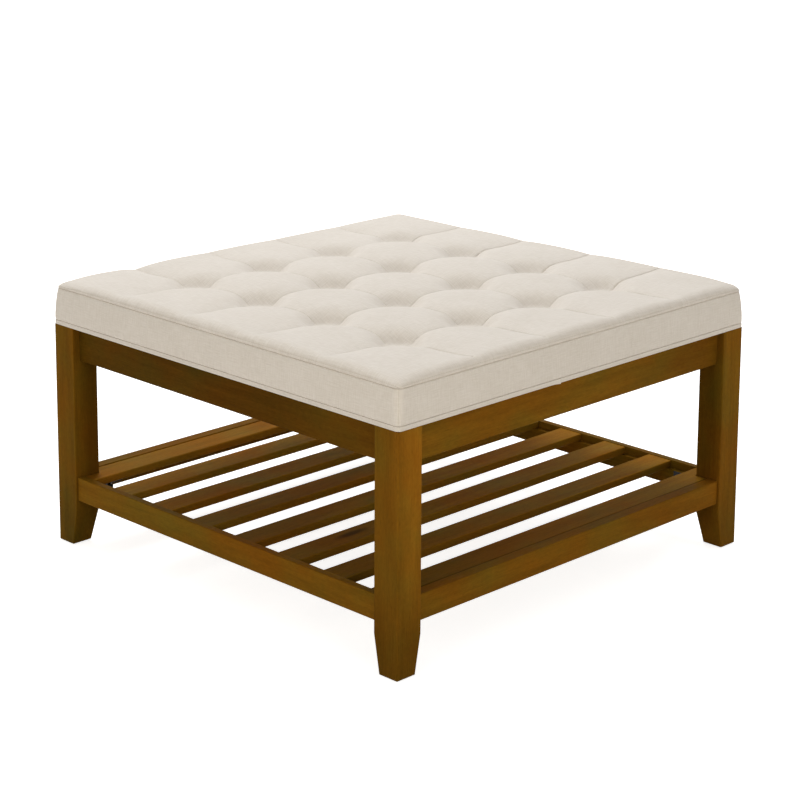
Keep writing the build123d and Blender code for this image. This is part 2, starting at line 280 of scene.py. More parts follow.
def stained_wood(name, along, cut, depth, patch=None, topside=None, olive="#685015", orange="#845413"):
    """Lacquered stained hardwood with its grain along one axis; cut shifts the pattern, and depth is how
    light the stain came out, with painted light and shade for some parts. A patch is a place with its own
    tone, stain on some parts and painted light and shade on others: its middle, its three radii and its share
    of the
    light. A topside is painted light: how much lighter the upper face is at the left and at the right end."""
    material, tree, output = blank(name)
    place = add(tree, "ShaderNodeTexCoord").outputs["Object"]

    def grain(width, length, detail, distortion=0.0):
        size = [1 / width] * 3
        size[axes[along]] = 1 / length
        shifted = add(tree, "ShaderNodeMapping", {"Vector": place, "Scale": size,
                                                  "Location": [cut * step for step in cut_steps]})
        return add(tree, "ShaderNodeTexNoise", {"Vector": shifted.outputs[0], "Scale": 1.0, "Detail": detail,
                                                "Distortion": distortion}).outputs["Fac"]

    def band(value, low, high, at_low, at_high):
        return add(tree, "ShaderNodeMapRange", {"Value": value, "From Min": low, "From Max": high,
                                                "To Min": at_low, "To Max": at_high}).outputs[0]

    def times(a, b):
        return add(tree, "ShaderNodeMath", {0: a, 1: b}, operation="MULTIPLY").outputs[0]

    fibre = grain(fibre_width, fibre_length, detail=3.0)
    figure = grain(figure_width, figure_length, detail=2.0, distortion=0.6)
    pore = grain(pore_width, pore_length, detail=1.0)
    blotch = grain(blotch_width, blotch_length, detail=3.0)
    fleck = grain(fleck_width, fleck_length, detail=2.0)
    stain = add(tree, "ShaderNodeMix", {0: band(blotch, *most_noise, 0, 1), 6: linear(olive),
                                        7: linear(orange)}, data_type="RGBA")
    lines, dashes = band(fibre, *most_noise, *fibre_tones), band(pore, *pore_noise, *pore_tones)
    tone = times(times(band(figure, *most_noise, *figure_tones), lines), times(dashes, depth))
    flecks = band(fleck, *most_noise, *fleck_tones)
    tone = times(tone, times(flecks, band(blotch, *wide_noise, *blotch_tones)))
    height = add(tree, "ShaderNodeSeparateXYZ", {0: place}).outputs["Z"]
    # Painted shade: parts with upright grain, the legs, darken towards the floor.
    if along == "z":
        tone = times(tone, band(height, foot_painted_shade_to, foot_painted_shade_from, foot_painted_shade, 1.0))
    # A patch scales the tone inside an ellipsoid: stain on some parts, painted light and shade on others.
    if patch:
        middle, radii, share = patch
        away = add(tree, "ShaderNodeVectorMath", {0: place, 1: [-m for m in middle]}, operation="ADD")
        in_radii = {0: away.outputs[0], 1: [1 / r for r in radii]}
        away = add(tree, "ShaderNodeVectorMath", in_radii, operation="MULTIPLY")
        away = add(tree, "ShaderNodeVectorMath", {0: away.outputs[0]}, operation="LENGTH").outputs["Value"]
        tone = times(tone, band(away, patch_core, 1.0, share, 1.0))
    eased = add(tree, "ShaderNodeBevel", {"Radius": arris_radius}, samples=6)
    flat = add(tree, "ShaderNodeNewGeometry").outputs["Normal"]
    # Painted light: upward faces are lighter, by a share that runs from the part's left end to its right end.
    if topside:
        across = add(tree, "ShaderNodeSeparateXYZ", {0: place}).outputs["X"]
        lighter = band(across, -painted_top_light_reach, painted_top_light_reach, *topside)
        upward = band(add(tree, "ShaderNodeSeparateXYZ", {0: flat}).outputs["Z"], *painted_top_light_slope, 0.0, 1.0)
        tone = times(tone, add(tree, "ShaderNodeMix", {0: upward, 2: 1.0, 3: lighter}).outputs[0])
    # Painted highlight: where the bevel's rounded normal turns away from the flat one, along every edge, the
    # colour is lightened.
    turn = add(tree, "ShaderNodeVectorMath", {0: eased.outputs[0], 1: flat}, operation="DOT_PRODUCT")
    tone = times(tone, band(turn.outputs["Value"], *arris_highlight_turn, arris_painted_highlight, 1.0))
    colour = add(tree, "ShaderNodeVectorMath", {0: stain.outputs[2], "Scale": tone}, operation="SCALE")
    relief = add(tree, "ShaderNodeMath", {0: lines, 1: dashes}, operation="ADD").outputs[0]
    bump = add(tree, "ShaderNodeBump", {"Height": relief, "Strength": 0.25, "Distance": grain_relief,
                                        "Normal": eased.outputs[0]})
    shader = add(tree, "ShaderNodeBsdfPrincipled", {
        "Base Color": colour.outputs[0], "Roughness": band(blotch, 0.0, 1.0, *lacquer_rough), "IOR": 1.35,
        "Specular IOR Level": 0.02, "Specular Tint": linear("#A8702C"), "Normal": bump.outputs[0]})
    tree.links.new(shader.outputs[0], output.inputs["Surface"])
    return material


wood_parts = {"leg_": "z", "apron_front": "x", "apron_back": "x", "apron_left": "y", "apron_right": "y",
              "stretcher_front": "x", "stretcher_back": "x", "stretcher_left": "y", "stretcher_right": "y",
              "slat_": "x"}


def finish(node, material):
    """Puts a material on every slot of a CAD node's object."""
    for place in nodes[node].material_slots:
        place.material = material


# Besides the boards' own tones, the depths hold painted shade and light: the left apron is darkened for the
# shade under the cushion's overhang, and the slats are darker towards the front and lighter towards the back,
# for how light reaches the shelf.
stain_and_painted_light_depth = {"apron_left": 0.5, "apron_front": 1.12, "leg_back_left": 0.88, "leg_front_left": 0.98,
               "leg_front_right": 1.08, "stretcher_left": 1.1, "stretcher_front": 1.1, "slat_1": 0.66,
               "slat_2": 0.8, "slat_3": 0.9, "slat_4": 0.95, "slat_7": 1.2, "slat_8": 1.3}
# Painted light on the slats' upward faces: how much lighter they are at the left and at the right end.
painted_top_light = {"slat_1": (1.3, 2.4), "slat_2": (1.15, 2.3), "slat_3": (1.15, 2.0), "slat_4": (1.05, 2.1),
                 "slat_5": (1.1, 1.5), "slat_6": (1.4, 1.4), "slat_7": (1.25, 1.25)}
# The patches: the front-left leg's front face is lightened, and the back-left leg's front face and the
# front-right leg's left face are darkened, as painted light and shade. The thin dark lines along slat_1 and
# the front stretcher are painted shade in the gap between them. The spot on slat_3 is a knot. The front apron
# is darker towards its right end, and the left apron is lighter towards its front end.
stain_and_painted_light_patch = {"apron_front": ((300 * MM, -368 * MM, 330 * MM), (170 * MM, 60 * MM, 90 * MM), 0.74),
               "apron_left": ((-368 * MM, -290 * MM, 330 * MM), (60 * MM, 160 * MM, 90 * MM), 1.35),
               "leg_back_left": ((-345 * MM, 335 * MM, 230 * MM), (30 * MM, 14 * MM, 260 * MM), 0.7),
               "leg_front_left": ((-340 * MM, -392 * MM, 290 * MM), (60 * MM, 40 * MM, 260 * MM), 1.5),
               "leg_front_right": ((333 * MM, -350 * MM, 220 * MM), (14 * MM, 44 * MM, 300 * MM), 0.55),
               "slat_1": ((0, -356.5 * MM, 113 * MM), (2000 * MM, 2.4 * MM, 12 * MM), 0.5),
               "stretcher_front": ((0, -357 * MM, 113 * MM), (2000 * MM, 2 * MM, 12 * MM), 0.5),
               "slat_3": ((-235 * MM, -140 * MM, 113 * MM), (42 * MM, 9 * MM, 12 * MM), 0.35)}
stained = [n for n in sorted(nodes) if any(n.startswith(part) for part in wood_parts)]
for number, node in enumerate(stained, start=1):
    along = next(axis for part, axis in wood_parts.items() if node.startswith(part))
    finish(node, stained_wood("stained_wood_" + node, along, number, stain_and_painted_light_depth.get(node, 1.0),
                              stain_and_painted_light_patch.get(node), painted_top_light.get(node)))
print(len(stained), "stained parts")

# %% [markdown]
# ## The hidden parts' finishes
# Inside and underneath are cheaper materials: bare pine cleats, birch plywood, polyurethane foam, woven
# polyester tape, blackened steel and nylon glides. The non-woven dust cloth is pale, which the shelf shows:
# the slats' tops would be far darker under a black one.

# %% Plain finishes
gloss_spread = 0.06
even, along_x, along_y = (1, 1, 1), (40, 1, 1), (1, 40, 1)


def plain(name, light, dark, grit, stretch, rough, metal=0.0, depth=0.1 * MM):
    """Two tones mixed by one stretched noise, which also makes the relief; grit is the noise's size."""
    material, tree, output = blank(name)
    place = add(tree, "ShaderNodeTexCoord").outputs["Object"]
    size = [1 / (grit * s) for s in stretch]
    place = add(tree, "ShaderNodeMapping", {"Vector": place, "Scale": size})
    noise = add(tree, "ShaderNodeTexNoise", {"Vector": place.outputs[0], "Scale": 1.0, "Detail": 3.0})
    noise = noise.outputs["Fac"]
    level = add(tree, "ShaderNodeMapRange", {"Value": noise, "From Min": 0.3, "From Max": 0.7}).outputs[0]
    colour = add(tree, "ShaderNodeMix", {0: level, 6: linear(dark), 7: linear(light)}, data_type="RGBA")
    gloss = add(tree, "ShaderNodeMapRange", {"Value": noise, "To Min": rough - gloss_spread,
                                             "To Max": rough + gloss_spread})
    bump = add(tree, "ShaderNodeBump", {"Height": noise, "Strength": 0.5, "Distance": depth})
    shader = add(tree, "ShaderNodeBsdfPrincipled", {
        "Base Color": colour.outputs[2], "Roughness": gloss.outputs[0], "Metallic": metal,
        "Normal": bump.outputs[0]})
    tree.links.new(shader.outputs[0], output.inputs["Surface"])
    return material


pine_x = plain("bare_pine_x", "#D9BC8C", "#C09A62", 2.5 * MM, along_x, 0.7)
pine_y = plain("bare_pine_y", "#D9BC8C", "#C09A62", 2.5 * MM, along_y, 0.7)
birch_ply = plain("birch_plywood", "#D8C09A", "#BF9F70", 3 * MM, (30, 1, 0.6), 0.65)
foam = plain("polyurethane_foam", "#EBDDA8", "#D9C582", 1.2 * MM, even, 0.95, depth=0.6 * MM)
dust_cloth = plain("non_woven_dust_cloth", "#E4DFD6", "#D6D0C5", 1.5 * MM, even, 0.9)
tape = plain("woven_tape", "#E6E2D8", "#CDC8BB", 0.8 * MM, (1, 1, 2), 0.8)
black_steel = plain("blackened_steel", "#1F1E1D", "#151413", 2 * MM, even, 0.6, metal=0.35, depth=0.02 * MM)
nylon = plain("moulded_nylon", "#4A3A2A", "#3E3023", 1 * MM, even, 0.5)

plain_finishes = {"cleat_front": pine_x, "cleat_back": pine_x, "cleat_left": pine_y, "cleat_right": pine_y,
                  "seat_board": birch_ply, "tuft_ties": tape}
steel_nodes = ("apron_brackets", "shelf_brackets", "hanger_bolts", "bolt_nuts")
plain_finishes |= dict.fromkeys(steel_nodes, black_steel)
plain_finishes |= {name: nylon for name in nodes if name.startswith("glide_")}
for name, material in plain_finishes.items():
    finish(name, material)
print(len(plain_finishes), "nodes with plain finishes")

# %% [markdown]
# ## Surfaces from grids
# Every new piece is a grid of points worked out by a formula. These helpers turn a grid into faces, close
# two grids into a shell, and make the Blender object, which then rides on the frame's one body.

# %% Grid helpers
def grid_faces(rows, columns, first=0, flip=False):
    """Four-sided faces of a grid of points, facing up where its rows run in x and its columns in y."""
    r, c = np.meshgrid(np.arange(rows - 1), np.arange(columns - 1), indexing="ij")
    low = first + r * columns + c
    faces = np.stack([low, low + columns, low + columns + 1, low + 1], -1).reshape(-1, 4)
    return faces[:, ::-1] if flip else faces


def rim(rows, columns):
    """The numbers of a grid's border points, once round, anticlockwise as seen from its front."""
    n = np.arange(rows * columns).reshape(rows, columns)
    return np.concatenate([n[:-1, 0], n[-1, :-1], n[:0:-1, -1], n[0, :0:-1]])


def strip_faces(a, b):
    """Faces between two closed rings of point numbers."""
    return np.stack([a, np.roll(a, -1), np.roll(b, -1), b], -1)


def piece(name, points, faces, material, slot, uv=None, smooth=True):
    """A mesh object with its place in its mesh, riding on the frame; uv has one pair for each point."""
    mesh = bpy.data.meshes.new(name)
    mesh.from_pydata(np.asarray(points).reshape(-1, 3).tolist(), [], [list(f) for f in faces])
    if uv is not None:
        corner = np.empty(len(mesh.loops), np.int32)
        mesh.loops.foreach_get("vertex_index", corner)
        layer = mesh.uv_layers.new(name="cloth")
        layer.data.foreach_set("uv", np.asarray(uv, float).reshape(-1, 2)[corner].ravel())
    mesh.polygons.foreach_set("use_smooth", [smooth] * len(mesh.polygons))
    mesh.materials.append(material)
    made = bpy.data.objects.new(name, mesh)
    bpy.context.scene.collection.objects.link(made)
    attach(made, "root")
    print(name, len(mesh.polygons), "faces")
    return made


def shell(outer, inner):
    """Points and faces of a closed shell between two grids of the same size, outer facing out."""
    rows, columns = outer.shape[:2]
    border = rim(rows, columns)
    count = rows * columns
    faces = np.concatenate([grid_faces(rows, columns), grid_faces(rows, columns, count, flip=True),
                            strip_faces(border + count, border)])
    return np.concatenate([outer.reshape(-1, 3), inner.reshape(-1, 3)]), faces


# %% [markdown]
# ## The tufted top
# The top panel is cut larger than the foam, and sixteen hidden tufts, four by four, pull it down. Between
# two tufts the cover folds into a crease, and between four it stands up as a puff. The outer tufts are
# joined to the edge by pleats. The height is one formula: a level crown, less a rounded groove along each
# line of tufts, less a deeper pit at each tuft, brought down to the seam by a rounded shoulder. On top of
# that come the sharp things: the folded line in each groove and the short wrinkles round each tuft. No
# cover is pulled on evenly, so this one also sinks: towards its back right corner, along its back edge, in
# some of the pleats of the back and the right side, and at the tips of its corners.

# %% The top's shape
tuft_pitch = 149.1 * MM
tuft_places = np.array([-1.5, -0.5, 0.5, 1.5])
tuft_lines = tuft_places * tuft_pitch
seam_half, seam_height, seam_corner = 379.3 * MM, 416 * MM, 11 * MM
crown = 431.6 * MM
groove_depth, groove_width, groove_power, groove_blend = 7.5 * MM, 23 * MM, 1.05, 3.5
pit_depth, pit_width, pit_power = 25 * MM, 32.5 * MM, 2.35
pit_floor, pit_softness = 409.6 * MM, 1.5 * MM
shoulder, shoulder_power, corner_power = 18 * MM, 2.1, 0.6
bay_sag, pleat_end, pleat_power = 1.2 * MM, 0.25, 3
slump, slump_reach, rim_power = 11.5 * MM, 690 * MM, 0.6
level_edge, level_reach = 430.5 * MM, 10 * MM
corner_droop, droop_reach, back_dip, far_fade = 5 * MM, 42 * MM, 2.2 * MM, 250 * MM
back_pleats, right_pleats = np.array([7.2, 0.6, 0.8, 2.6]) * MM, np.array([-0.5, 2.0, 2.8, 1.8]) * MM
fold_depth, fold_width, fold_step, fold_reach = 3.2 * MM, 0.85 * MM, 0.35 * MM, 5 * MM
fold_fade, fold_least = 34 * MM, 0.3
front_fold, back_fold, left_fold, right_fold = 1.0, 0.3, 0.14, 0.9
wrinkle_depth, wrinkle_reach, wrinkle_start = 0.45 * MM, 26 * MM, 9 * MM
wrinkle_counts, wrinkle_shares = (5, 8, 13), (0.3, 1)
shapes = np.random.default_rng(7)


def near_line(t):
    """Distance from a coordinate to the nearest line of tufts."""
    return np.abs(t[..., None] - tuft_lines).min(-1)


def past_line(t):
    """The same distance with its sign: above 0 beyond the line."""
    gap = t[..., None] - tuft_lines
    return np.take_along_axis(gap, np.abs(gap).argmin(-1)[..., None], -1)[..., 0]


def edge_rise(d):
    """0 at the seam to 1 past the shoulder, along a quarter of a rounded square."""
    inner = 1 - np.clip(d / shoulder, 0, 1)
    return (1 - inner ** shoulder_power) ** (1 / shoulder_power)


def outer_bay(t):
    """0 up to the last line of tufts, then 0 to 1 across the bay beside the edge."""
    return np.clip((np.abs(t) - tuft_lines[-1]) / (seam_half - tuft_lines[-1]), 0, 1)


def groove(t, across):
    """The share of a groove's depth at a distance from its line; a pleat fades as it nears the edge."""
    fade = 1 - (1 - pleat_end) * outer_bay(across) ** pleat_power
    return np.exp(-(near_line(t) / groove_width) ** groove_power) * fade


def far_pleats(t, across, depths):
    """How much deeper each pleat of a far side is than the others: no two are pulled alike."""
    share = np.exp(-(np.abs(t[..., None] - tuft_lines) / groove_width) ** groove_power)
    return (share * depths).sum(-1) * outer_bay(np.clip(across, 0, None))


def fold(t, along, first_pleat, last_pleat):
    """The folded line in a groove: a narrow cut and a small step, which fade between the tufts. The lines'
    outer ends are pleats, with a strength of their own."""
    gap = past_line(t)
    strength = np.maximum(np.exp(-near_line(along) / fold_fade), fold_least)
    strength = np.where(along < tuft_lines[0], first_pleat, strength)
    strength = np.where(along > tuft_lines[-1], last_pleat, strength)
    cut = fold_depth * np.exp(-np.abs(gap) / fold_width)
    step = fold_step / 2 * np.sign(gap) * np.exp(-np.abs(gap) / fold_reach)
    return -strength * (cut + step)


def wrinkles(x, y):
    """Short radial wrinkles round the tufts: cosines of the angle that fade in and out with the distance."""
    total = 0 * x
    for tx in tuft_lines:
        for ty in tuft_lines:
            r, angle = np.hypot(x - tx, y - ty), np.arctan2(y - ty, x - tx)
            wave = 0 * x
            for count in wrinkle_counts:
                phase = shapes.uniform(0, 2 * np.pi)
                wave += np.cos(count * angle + phase) * shapes.uniform(*wrinkle_shares)
            fade_in = 1 - np.exp(-(r / wrinkle_start) ** 2)
            total += wrinkle_depth * wave * np.exp(-(r / wrinkle_reach) ** 2) * fade_in
    return total


def sinking(x, y):
    """How far the cover sinks: a slump towards the back right corner, the far sides' deeper pleats, and a dip
    along the back and a droop at the corners, which fade where the slump is deepest."""
    rim_share = np.maximum(outer_bay(x), outer_bay(y)) ** rim_power
    sunk = slump * (np.clip(x + y, 0, None) / slump_reach) * rim_share
    sunk += far_pleats(x, y, back_pleats) + far_pleats(y, x, right_pleats)
    from_corner = np.hypot(seam_half - np.abs(x), seam_half - np.abs(y))
    eased = back_dip * outer_bay(np.clip(y, 0, None)) ** rim_power
    eased += corner_droop * np.exp(-(from_corner / droop_reach) ** 2)
    return sunk + eased * np.clip((2 * seam_half - x - y) / far_fade, 0, 1)


def top_height(x, y, edge):
    """The height of the top at (x, y), where edge is the distance in from the seam. It never falls below the
    pits' floor, and it levels out at the edge before the shoulder takes it down to the seam."""
    grooves = (groove(x, y) ** groove_blend + groove(y, x) ** groove_blend) ** (1 / groove_blend)
    pit = np.exp(-(np.hypot(near_line(x), near_line(y)) / pit_width) ** pit_power)
    bay_middle = np.maximum(np.sin(np.pi * outer_bay(x)), np.sin(np.pi * outer_bay(y)))
    sunk = sinking(x, y)
    z = crown - groove_depth * grooves - pit_depth * pit - bay_sag * bay_middle
    z = z + fold(x, y, front_fold, back_fold) + fold(y, x, left_fold, right_fold) + wrinkles(x, y) - sunk
    z = pit_floor + pit_softness * np.logaddexp(0, (z - pit_floor) / pit_softness)
    z = z + (level_edge - sunk - z) * np.exp(-(edge / level_reach) ** 2)
    other = seam_half - np.minimum(np.abs(x), np.abs(y))
    return seam_height + (z - seam_height) * edge_rise(edge) * edge_rise(other) ** corner_power


def graded(marks, finest, coarsest, growth):
    """Places from the first mark to the last, close together at each mark and wider between them."""
    out = [marks[0]]
    for a, b in zip(marks[:-1], marks[1:]):
        steps, size = [], finest
        while sum(steps) + size < (b - a) / 2:
            steps.append(size)
            size = min(size * growth, coarsest)
        half = np.cumsum([0] + steps)
        half = half * ((b - a) / 2 / (half[-1] + size / 2)) if steps else half
        out += list(a + half[1:]) + list((b - half)[::-1])
    return np.array(out)


def round_corners(x, y, reach, corner):
    """Moves a square grid's corner patches to quarter discs: (u sqrt(1 - v^2 / 2), v sqrt(1 - u^2 / 2))."""
    start = reach - corner
    u = np.clip((np.abs(x) - start) / corner, 0, 1)
    v = np.clip((np.abs(y) - start) / corner, 0, 1)
    px = np.where(u > 0, np.sign(x) * (start + corner * u * np.sqrt(1 - v ** 2 / 2)), x)
    py = np.where(v > 0, np.sign(y) * (start + corner * v * np.sqrt(1 - u ** 2 / 2)), y)
    inside = np.where((u > 0) & (v > 0), corner - np.hypot(np.abs(px) - start, np.abs(py) - start),
                      reach - np.maximum(np.abs(px), np.abs(py)))
    return px, py, np.clip(inside, 0, None)


roll_steps, finest_step, coarsest_step, step_growth = 27, 0.5 * MM, 4.2 * MM, 1.13
roll = shoulder * (1 - np.cos(np.linspace(0, np.pi / 2, roll_steps)))
marks = [-seam_half + shoulder, *tuft_lines, seam_half - shoulder]
middle = graded(marks, finest_step, coarsest_step, step_growth)
line = np.concatenate([roll[:-1] - seam_half, middle, (seam_half - roll[:-1])[::-1]])
grid_x, grid_y = np.meshgrid(line, line, indexing="ij")
top_x, top_y, top_edge = round_corners(grid_x, grid_y, seam_half, seam_corner)
top_z = top_height(top_x, top_y, top_edge)
top_grid = np.stack([top_x, top_y, top_z], -1)
print("the top's grid is", line.size, "square; crowns at", round(float(top_z.max()) / MM, 1), "mm")

# %% [markdown]
# ## Topstitching
# A second row of stitches runs a little above the top seam and holds the seam's fold flat. The thread
# sinks into the cloth, so the surface gets a shallow groove, and the stitches lie in it end to end.

# %% The groove and the stitches
stitch_in = 0.95 * MM
stitch_ring = int(np.argmin(np.abs(roll - stitch_in)))
stitch_groove, stitch_spread, seam_ditch = 0.45 * MM, 0.8, 1.0 * MM
stitch_pitch, stitch_length, stitch_radius, stitch_rise = 3.4 * MM, 2.7 * MM, 0.3 * MM, 0.1 * MM
probe = 0.5 * MM


def outward(grid):
    """Unit normals of a grid of points, from its two directions."""
    n = np.cross(np.gradient(grid, axis=0), np.gradient(grid, axis=1))
    return n / np.maximum(np.linalg.norm(n, axis=-1, keepdims=True), 1e-12)


def ring_of(grid, k):
    """A grid's points k steps in from its border, once round."""
    inner = grid[k:grid.shape[0] - k, k:grid.shape[1] - k]
    return inner.reshape(-1, grid.shape[-1])[rim(*inner.shape[:2])]


top_out = outward(top_grid)
n = np.arange(line.size)
steps_in = np.minimum(n, n[::-1])
ring_number = np.minimum(steps_in[:, None], steps_in[None])
sunk = stitch_groove * np.exp(-((ring_number - stitch_ring) / stitch_spread) ** 2)
sunk += seam_ditch * np.exp(-(ring_number / stitch_spread) ** 2)
top_grid = top_grid - top_out * sunk[..., None]


def evenly(ring, normals, pitch):
    """Places, directions and normals at even steps along a closed ring of points."""
    closed = np.concatenate([ring, ring[:1]])
    run = np.concatenate([[0], np.cumsum(np.linalg.norm(np.diff(closed, axis=0), axis=1))])
    count = int(run[-1] / pitch)
    at = (np.arange(count) + 0.5) * run[-1] / count

    def look(s, values):
        return np.stack([np.interp(s % run[-1], run, values[:, k]) for k in range(3)], -1)

    def unit(v):
        return v / np.linalg.norm(v, axis=-1, keepdims=True)

    along = look(at + probe, closed) - look(at - probe, closed)
    out = look(at, np.concatenate([normals, normals[:1]]))
    return look(at, closed), unit(along), unit(out)


def beads(places, along, out, length, radius):
    """One small rounded rod for each place, lying along its direction: five rings of six points."""
    across = np.cross(out, along)
    stations = np.array([-0.5, -0.36, 0.0, 0.36, 0.5])
    widths = np.array([0.25, 0.9, 1.0, 0.9, 0.25])
    sides = 6
    angle = np.linspace(0, 2 * np.pi, sides, endpoint=False)[None, None, :, None]
    spread = across[:, None, None] * np.cos(angle) + out[:, None, None] * np.sin(angle)
    reach = along[:, None, None] * (stations * length)[None, :, None, None]
    points = places[:, None, None] + reach + radius * widths[None, :, None, None] * spread
    one = np.arange(len(stations) * sides).reshape(len(stations), sides)
    beside = np.roll(one, -1, 1)
    tube = np.stack([one[:-1], beside[:-1], beside[1:], one[1:]], -1).reshape(-1, 4)
    first = one.size * np.arange(len(places))
    faces = list((first[:, None, None] + tube[None]).reshape(-1, 4))
    faces += [f for end in (one[0][::-1], one[-1]) for f in first[:, None] + end[None]]
    return points.reshape(-1, 3), faces


places, along, out = evenly(ring_of(top_grid, stitch_ring), ring_of(top_out, stitch_ring), stitch_pitch)
stitches = beads(places + out * stitch_rise, along, out, stitch_length, stitch_radius)
piece("topstitching", *stitches, linen_thread, "linen")
print(len(places), "stitches round the top")

# %% The top as a closed piece
count = line.size ** 2
border = rim(line.size, line.size)
upper = top_grid.reshape(-1, 3)
ledge_in, fold_down, under_height = 3.4 * MM, 0.1 * MM, 408 * MM


def ring_inside(points, by, height):
    """The border pulled towards the middle by a share of its reach, at a height."""
    flat = points[border] * (1 - by / seam_half)
    flat[:, 2] = height
    return flat


rings = [ring_inside(upper, ledge_in, seam_height - fold_down), ring_inside(upper, ledge_in, under_height)]
ring_numbers = [count + k * len(border) + np.arange(len(border)) for k in range(2)]
top_points = np.concatenate([upper, *rings])
top_faces = [*grid_faces(line.size, line.size), *strip_faces(ring_numbers[0], border),
             *strip_faces(ring_numbers[1], ring_numbers[0]), ring_numbers[1][::-1]]
top_uv = np.concatenate([np.stack([grid_x, grid_y], -1).reshape(-1, 2), rings[0][:, :2], rings[1][:, :2]])
cushion_top = piece("cushion_top", top_points, top_faces, linen_weave, "linen", top_uv)
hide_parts("tufted_top")

# %% [markdown]
# ## The side panels
# Four strips of cloth box the cushion in, joined at the corners and sewn to the top panel above and the hem
# band below. A strip over foam is not flat: it swells a little between its seams and is pulled in at them.

# %% Side panels
panel_low, panel_high = 364.6 * MM, 415.5 * MM
foot_half, foot_corner = 382.3 * MM, 8 * MM
head_half, head_corner = 379.2 * MM, 11 * MM
panel_swell, swell_power = 1.6 * MM, 2.4
seam_pull, seam_reach, corner_pull = 1.8 * MM, 0.5 * MM, 0.7 * MM
backing_half, backing_corner = 376.6 * MM, 15 * MM
panel_mark, panel_finest, panel_coarsest, panel_growth = 300 * MM, 0.5 * MM, 6 * MM, 1.25
row_finest, row_coarsest, row_growth = 0.006, 0.05, 1.3
panel_rows = graded([0, 0.5, 1], row_finest, row_coarsest, row_growth)
cloth_shift = np.array([0.37, 0.11])


def side_path(t, half, corner):
    """Plan position and outward normal along the back side, from mid corner (-1) to mid corner (1)."""
    straight = half - corner
    length = straight + corner * np.pi / 4
    s = np.abs(t) * length
    angle = np.clip((s - straight) / corner, 0, np.pi / 4)
    x = np.sign(t) * (np.minimum(s, straight) + corner * np.sin(angle))
    y = straight + corner * np.cos(angle)
    return x, y, np.sign(t) * np.sin(angle), np.cos(angle), t * length


def turned(points, quarters):
    """Points turned about the upright axis by quarter turns."""
    out = points.copy()
    for _ in range(quarters):
        out = np.stack([-out[..., 1], out[..., 0], out[..., 2]], -1)
    return out


def side_panel():
    """Outer and inner grids of the back panel: a path that widens to the foot, swollen between its seams."""
    s = graded([0, panel_mark, foot_half], panel_finest, panel_coarsest, panel_growth)
    t, v = np.meshgrid(np.concatenate([-s[:0:-1], s]) / s[-1], panel_rows, indexing="ij")
    half = foot_half + (head_half - foot_half) * v
    corner = foot_corner + (head_corner - foot_corner) * v
    x, y, nx, ny, s = side_path(t, half, corner)
    height = panel_high - panel_low
    to_seam = np.minimum(v, 1 - v) * height
    to_end = (1 - np.abs(t)) * foot_half
    out = panel_swell * (1 - np.abs(2 * v - 1) ** swell_power)
    out = out - seam_pull * np.exp(-to_seam / seam_reach) - corner_pull * np.exp(-to_end / seam_reach)
    z = panel_low + v * height
    outer = np.stack([x + nx * out, y + ny * out, z], -1)
    bx, by, _, _, _ = side_path(t, backing_half, backing_corner)
    inner = np.stack([bx, by, z], -1)
    uv = np.stack([s, z], -1)
    return outer, inner, np.concatenate([uv.reshape(-1, 2)] * 2)


outer, inner, panel_uv = side_panel()
for quarters, side in enumerate(("back", "left", "front", "right")):
    points, faces = shell(turned(outer, quarters), turned(inner, quarters))
    made = piece("boxing_" + side, points, faces[:, ::-1], linen_weave, "linen",
                 panel_uv + quarters * cloth_shift)
    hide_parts("side_panel_" + side)

# %% [markdown]
# ## The hem band
# The boxing ends in a folded band that is stapled under the seat board. It is one strip that goes once
# round and meets itself on the front side, where one end laps over the other and leaves a small step.

# %% Hem band
hem_low, hem_high = 357.4 * MM, 364.3 * MM
hem_half, hem_corner, hem_inside = 382.2 * MM, 7 * MM, 377.4 * MM
joint_place, lap_length, lap_out, lap_drop = -53 * MM, 8 * MM, 1.5 * MM, 0.6
hem_count, hem_sides, bulge_power, rise_power, hem_edge = 900, 24, 0.35, 0.5, 4 * MM


def around(half, corner, count):
    """Evenly spaced places once round a rounded square, from the middle of the back side, with normals."""
    straight = half - corner
    quarter = 2 * straight + corner * np.pi / 2
    s = np.linspace(0, 4 * quarter, count, endpoint=False)
    q = np.floor((s + quarter / 2) / quarter).astype(int) % 4
    t = ((s + quarter / 2) % quarter) - quarter / 2
    x, y, nx, ny, _ = side_path(-t / (quarter / 2), half, corner)
    p, n = np.stack([x, y, 0 * x], -1), np.stack([nx, ny, 0 * x], -1)
    for k in range(1, 4):
        p[q == k], n[q == k] = turned(p[q == k], k), turned(n[q == k], k)
    return p, n, s


